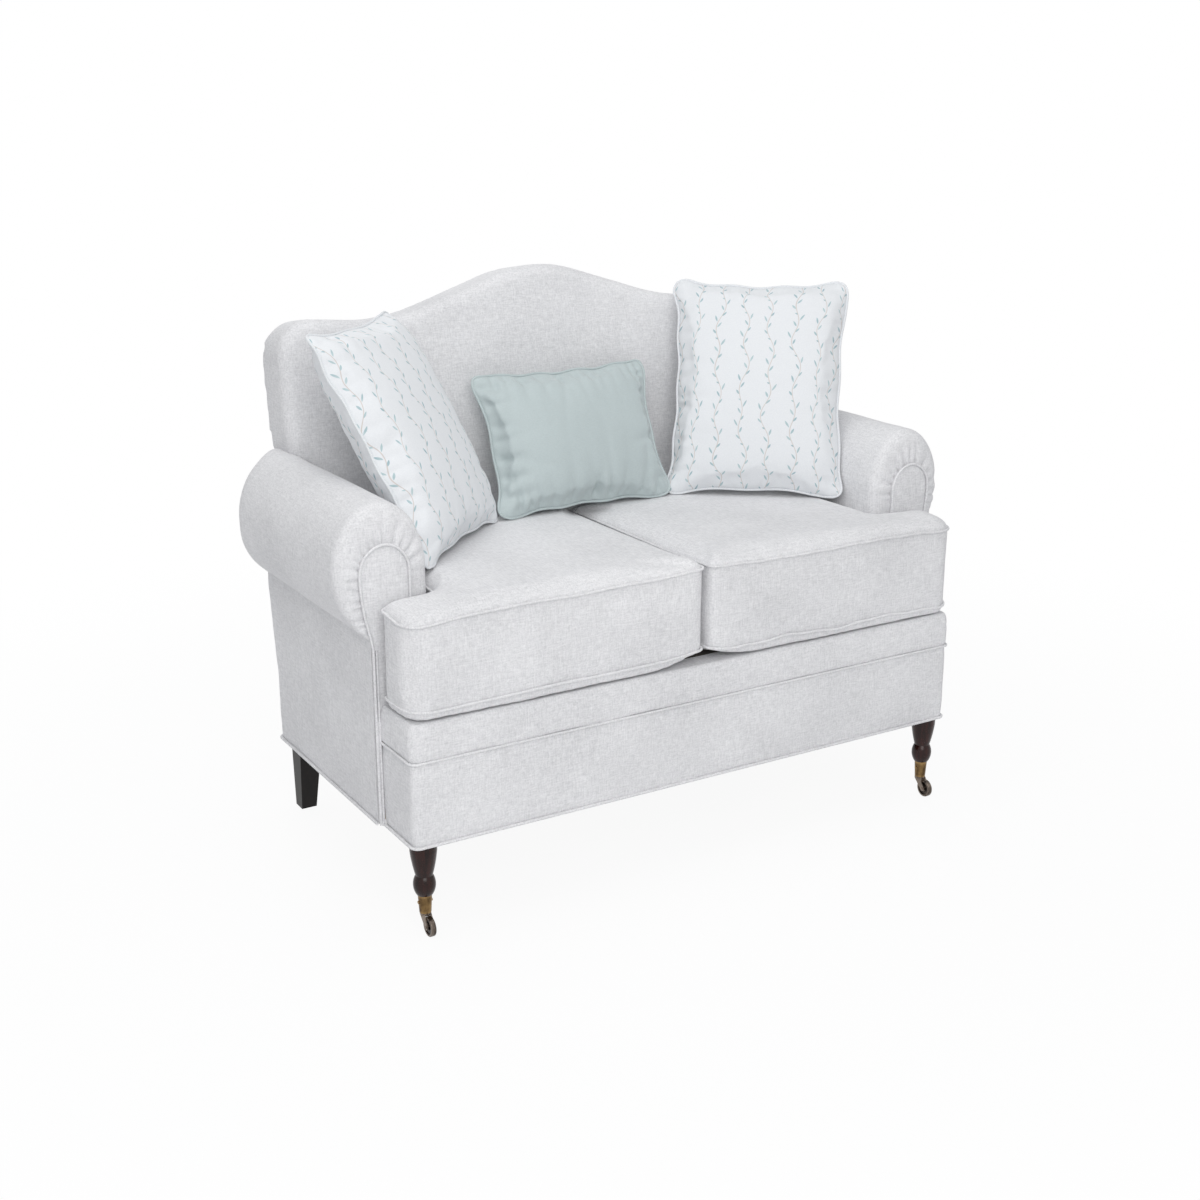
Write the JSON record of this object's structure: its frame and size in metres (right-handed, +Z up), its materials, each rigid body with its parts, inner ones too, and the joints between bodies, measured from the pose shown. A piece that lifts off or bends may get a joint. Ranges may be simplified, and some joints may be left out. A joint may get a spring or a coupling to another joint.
{
  "type": "loveseat",
  "caption": "Camel-back upholstered loveseat with rolled arms set back, loose T seat cushions, throw pillows, turned front legs on brass casters and raked rear legs.",
  "frame": {"origin": "on the floor, under the middle of the whole settee's box", "axes": "+X along the width to the sitter's left hand seen from the front as right, +Y from the front to the back, +Z up"},
  "size_m": [1.262, 0.6932, 1.0108],
  "materials": {
    "frame_wood": "plain sawn",
    "upholstery": "off-white linen weave",
    "deck_cloth": "dark lining",
    "padding": "foam and felt",
    "webbing": "jute",
    "dust_cloth": "black lining",
    "spring_steel": "drawn wire",
    "bolt_steel": "zinc",
    "front_leg_wood": "dark red-brown gloss",
    "rear_leg_wood": "near-black satin",
    "cup_brass": "antique",
    "caster_bronze": "dark bronze",
    "print_cloth": "white with a sprig print",
    "sage_cloth": "sage satin"
  },
  "bodies": {
    "settee_frame": {"front_rail": "frame_wood", "rear_rail": "frame_wood", "left_side_rail": "frame_wood", "right_side_rail": "frame_wood", "seat_brace": "frame_wood", "corner_blocks": "frame_wood", "left_arm_post": "frame_wood", "right_arm_post": "frame_wood", "arm_rear_posts": "frame_wood", "left_arm_board": "frame_wood", "right_arm_board": "frame_wood", "left_back_post": "frame_wood", "right_back_post": "frame_wood", "back_top_rail": "frame_wood", "back_lower_rail": "frame_wood", "back_slat": "frame_wood", "front_panel": "upholstery", "front_band": "upholstery", "base_welts": "upholstery", "left_arm_pad": "upholstery", "right_arm_pad": "upholstery", "left_outside_arm": "upholstery", "right_outside_arm": "upholstery", "left_arm_facing": "upholstery", "right_arm_facing": "upholstery", "facing_welts": "upholstery", "inside_back": "upholstery", "outside_back": "upholstery", "deck_pad": "padding", "deck_lining": "deck_cloth", "dust_cover": "dust_cloth", "back_webbing": "webbing", "seat_springs": "spring_steel", "spring_clips": "spring_steel", "leg_bolts": "bolt_steel", "left_front_leg": "front_leg_wood", "right_front_leg": "front_leg_wood", "left_rear_leg": "rear_leg_wood", "right_rear_leg": "rear_leg_wood", "left_caster_cup": "cup_brass", "right_caster_cup": "cup_brass", "cup_screws": "cup_brass"},
    "left_caster_swivel_body": {"left_caster_fork": "caster_bronze", "left_caster_axle": "caster_bronze"},
    "right_caster_swivel_body": {"right_caster_fork": "caster_bronze", "right_caster_axle": "caster_bronze"},
    "left_wheel_body": {"left_caster_wheel": "caster_bronze"},
    "right_wheel_body": {"right_caster_wheel": "caster_bronze"},
    "left_cushion": {"left_cushion_cover": "upholstery", "left_cushion_core": "padding", "left_cushion_welts": "upholstery"},
    "right_cushion": {"right_cushion_cover": "upholstery", "right_cushion_core": "padding", "right_cushion_welts": "upholstery"},
    "left_pillow_body": {"left_pillow": "print_cloth", "left_pillow_welt": "print_cloth"},
    "right_pillow_body": {"right_pillow": "print_cloth", "right_pillow_welt": "print_cloth"},
    "lumbar_pillow_body": {"lumbar_pillow": "sage_cloth", "lumbar_pillow_welt": "sage_cloth"}
  },
  "joints": [
    {"name": "left_caster_swivel", "type": "hinge", "parent": "settee_frame", "child": "left_caster_swivel_body", "pos_m": [-0.538, -0.311, 0.03], "axis": [0, 0, 1], "continuous": true},
    {"name": "left_wheel_roll", "type": "hinge", "parent": "left_caster_swivel_body", "child": "left_wheel_body", "pos_m": [-0.538, -0.3265, 0.017], "axis": [1, 0, 0], "continuous": true},
    {"name": "right_caster_swivel", "type": "hinge", "parent": "settee_frame", "child": "right_caster_swivel_body", "pos_m": [0.538, -0.311, 0.03], "axis": [0, 0, 1], "continuous": true},
    {"name": "right_wheel_roll", "type": "hinge", "parent": "right_caster_swivel_body", "child": "right_wheel_body", "pos_m": [0.538, -0.3265, 0.017], "axis": [1, 0, 0], "continuous": true},
    {"name": "left_cushion_slide", "type": "slide", "parent": "settee_frame", "child": "left_cushion", "axis": [0, -1, 0], "range_m": [0, 0.5]},
    {"name": "right_cushion_slide", "type": "slide", "parent": "settee_frame", "child": "right_cushion", "axis": [0, -1, 0], "range_m": [0, 0.5]},
    {"name": "left_pillow_lift", "type": "slide", "parent": "settee_frame", "child": "left_pillow_body", "axis": [0, 0, 1], "range_m": [0, 0.45]},
    {"name": "right_pillow_lift", "type": "slide", "parent": "settee_frame", "child": "right_pillow_body", "axis": [0, 0, 1], "range_m": [0, 0.45]},
    {"name": "lumbar_pillow_lift", "type": "slide", "parent": "settee_frame", "child": "lumbar_pillow_body", "axis": [0, 0, 1], "range_m": [0, 0.45]}
  ]
}
